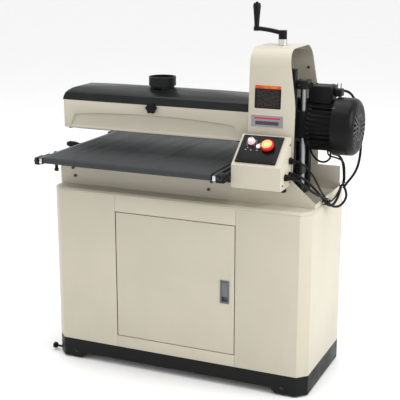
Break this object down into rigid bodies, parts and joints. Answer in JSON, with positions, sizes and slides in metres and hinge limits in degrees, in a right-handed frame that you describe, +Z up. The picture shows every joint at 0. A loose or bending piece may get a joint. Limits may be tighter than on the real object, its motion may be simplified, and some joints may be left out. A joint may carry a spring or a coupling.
{
  "type": "drum sander",
  "caption": "Open-ended drum sander on a closed cabinet, with a conveyor belt bed, a cantilevered dust-hooded drum head raised by a crank, and a direct-drive motor.",
  "frame": {"origin": "centre of the machine's footprint box at floor level, measured without the loose power cord", "axes": "+Z up, -Y to the infeed (operator) side, +X towards the motor end"},
  "size_m": [1.163, 0.6104, 1.3485],
  "materials": {
    "black_satin": "satin black enamel on pressed steel",
    "cream_paint": "off-white powder coat on sheet steel",
    "foot_rubber": "moulded rubber pads",
    "knob_plastic": "moulded black knob",
    "hinge_steel": "zinc-plated hinge",
    "latch_grey": "dark grey moulding",
    "bed_steel": "ground steel",
    "belt_rubber": "dark grey abrasive-backed rubber belt",
    "roller_rubber": "knurled rubber-covered roller",
    "black_bracket": "black enamel",
    "zinc_screw": "bright zinc plate",
    "gearmotor_black": "black enamel gearmotor",
    "casting_black": "painted casting",
    "ground_steel": "ground and polished",
    "drum_aluminium": "turned tube",
    "abrasive": "aluminium-oxide grit on cloth",
    "rotor_iron": "laminated rotor",
    "lid_plastic": "satin black moulding",
    "motor_black": "black painted finned casting",
    "fan_cover_black": "black pressed steel",
    "fan_plastic": "moulded fan",
    "label_print": "printed vinyl and a plain metal-look plate, no lettering",
    "panel_black": "black moulded panel",
    "dial_grey": "pale moulded dial",
    "stop_red": "glossy red moulding",
    "start_white": "glossy white moulding",
    "gland_black": "black nylon",
    "crank_black": "black enamel",
    "cord_black": "black jacket"
  },
  "bodies": {
    "root": {"plinth": "black_satin", "levelling_feet": "foot_rubber", "cabinet_left": "cream_paint", "cabinet_right": "cream_paint", "cabinet_front": "cream_paint", "cabinet_back": "cream_paint", "cabinet_top": "cream_paint", "door_hinges": "hinge_steel", "machine_base": "cream_paint", "conveyor_bed": "bed_steel", "conveyor_belt": "belt_rubber", "takeup_brackets": "black_bracket", "bolts": "zinc_screw", "conveyor_gearmotor": "gearmotor_black", "column_frame": "casting_black", "guide_post": "ground_steel", "post_brackets": "black_bracket", "column_cover": "cream_paint", "label_plates": "label_print", "control_box": "cream_paint", "control_panel": "panel_black", "cable_glands": "gland_black", "control_leads": "cord_black", "power_cord_lower": "cord_black", "cable_ties": "gland_black"},
    "door": {"door": "cream_paint", "hinge_pins": "hinge_steel", "latch_cup": "latch_grey"},
    "latch": {"latch_paddle": "latch_grey"},
    "foot_knob": {"star_knob": "knob_plastic"},
    "bed_lever": {"bed_lock_lever": "black_bracket"},
    "tracking_knob": {"bed_knob": "knob_plastic"},
    "idler": {"idler_roller": "roller_rubber"},
    "drive": {"drive_roller": "roller_rubber"},
    "crank": {"lead_screw": "zinc_screw", "crank_arm": "crank_black"},
    "grip": {"crank_grip": "knob_plastic"},
    "head": {"head_carriage": "casting_black", "head_beam": "casting_black", "drum_bearings": "ground_steel", "dust_hood": "cream_paint", "motor_housing": "motor_black", "fan_cover": "fan_cover_black", "terminal_box": "motor_black", "motor_leads_upper": "cord_black", "power_cord_upper": "cord_black", "power_plug": "cord_black"},
    "drum": {"drum": "drum_aluminium", "abrasive_wrap": "abrasive", "drum_shaft": "ground_steel", "motor_rotor": "rotor_iron", "cooling_fan": "fan_plastic"},
    "front_roller": {"pressure_roller_front": "bed_steel"},
    "rear_roller": {"pressure_roller_rear": "bed_steel"},
    "lid": {"hood_lid": "lid_plastic", "dust_port": "lid_plastic"},
    "lid_latch": {"lid_knob": "knob_plastic"},
    "speed_dial": {"speed_knob": "dial_grey"},
    "stop": {"stop_button": "stop_red"},
    "start": {"start_button": "start_white"}
  },
  "joints": [
    {"name": "door_swing", "type": "hinge", "parent": "root", "child": "door", "pos_m": [-0.2405, -0.205, 0.36], "axis": [0, 0, -1], "range_deg": [0, 90]},
    {"name": "latch_lift", "type": "hinge", "parent": "door", "child": "latch", "pos_m": [0.178, -0.2135, 0.388], "axis": [-1, 0, 0], "range_deg": [0, 35], "stiffness_Nm_per_rad": 0.05, "springref_deg": -17.19},
    {"name": "foot_knob_turn", "type": "hinge", "parent": "root", "child": "foot_knob", "pos_m": [-0.5385, -0.1765, 0.017], "axis": [1, 0, 0], "continuous": true},
    {"name": "bed_lever_swing", "type": "hinge", "parent": "root", "child": "bed_lever", "pos_m": [-0.5185, -0.17, 0.7852], "axis": [1, 0, 0], "range_deg": [-70, 20]},
    {"name": "tracking_knob_turn", "type": "hinge", "parent": "root", "child": "tracking_knob", "pos_m": [-0.5185, 0.006, 0.7852], "axis": [1, 0, 0], "range_deg": [-60, 60]},
    {"name": "idler_turn", "type": "hinge", "parent": "root", "child": "idler", "pos_m": [-0.1695, -0.2872, 0.7852], "axis": [1, 0, 0], "continuous": true},
    {"name": "drive_turn", "type": "hinge", "parent": "root", "child": "drive", "pos_m": [-0.1695, 0.2892, 0.7852], "axis": [1, 0, 0], "continuous": true},
    {"name": "head_lift", "type": "slide", "parent": "root", "child": "head", "axis": [0, 0, 1], "range_m": [-0.0735, 0.026]},
    {"name": "crank_turn", "type": "hinge", "parent": "root", "child": "crank", "pos_m": [0.2995, 0.001, 1.15], "axis": [0, 0, 1], "range_deg": [-16800, 6000]},
    {"name": "grip_spin", "type": "hinge", "parent": "crank", "child": "grip", "pos_m": [0.2035, 0.001, 1.3], "axis": [0, 0, 1], "continuous": true},
    {"name": "drum_spin", "type": "hinge", "parent": "head", "child": "drum", "pos_m": [-0.1695, 0.001, 0.936], "axis": [1, 0, 0], "continuous": true},
    {"name": "front_roller_turn", "type": "hinge", "parent": "head", "child": "front_roller", "pos_m": [-0.1695, -0.087, 0.884], "axis": [1, 0, 0], "continuous": true},
    {"name": "rear_roller_turn", "type": "hinge", "parent": "head", "child": "rear_roller", "pos_m": [-0.1695, 0.089, 0.884], "axis": [1, 0, 0], "continuous": true},
    {"name": "lid_swing", "type": "hinge", "parent": "head", "child": "lid", "pos_m": [-0.1695, 0.119, 0.984], "axis": [-1, 0, 0], "range_deg": [0, 100]},
    {"name": "lid_latch_turn", "type": "hinge", "parent": "head", "child": "lid_latch", "pos_m": [-0.1495, -0.117, 0.973], "axis": [0, 1, 0], "range_deg": [0, 90]},
    {"name": "speed_turn", "type": "hinge", "parent": "root", "child": "speed_dial", "pos_m": [0.2615, -0.18807, 0.89465], "axis": [0, -0.6225, 0.7826], "range_deg": [-270, 0]},
    {"name": "stop_press", "type": "slide", "parent": "root", "child": "stop", "axis": [0, 0.6225, -0.7826], "range_m": [0, 0.006], "stiffness_N_per_m": 400, "springref_m": -0.003},
    {"name": "start_press", "type": "slide", "parent": "root", "child": "start", "axis": [0, 0.6225, -0.7826], "range_m": [0, 0.003], "stiffness_N_per_m": 400, "springref_m": -0.003}
  ],
  "couplings": [
    {"joint": "crank_turn", "follows": "head_lift", "rad_per_m": 3957.9},
    {"joint": "idler_turn", "follows": "drive_turn", "ratio": 1}
  ]
}
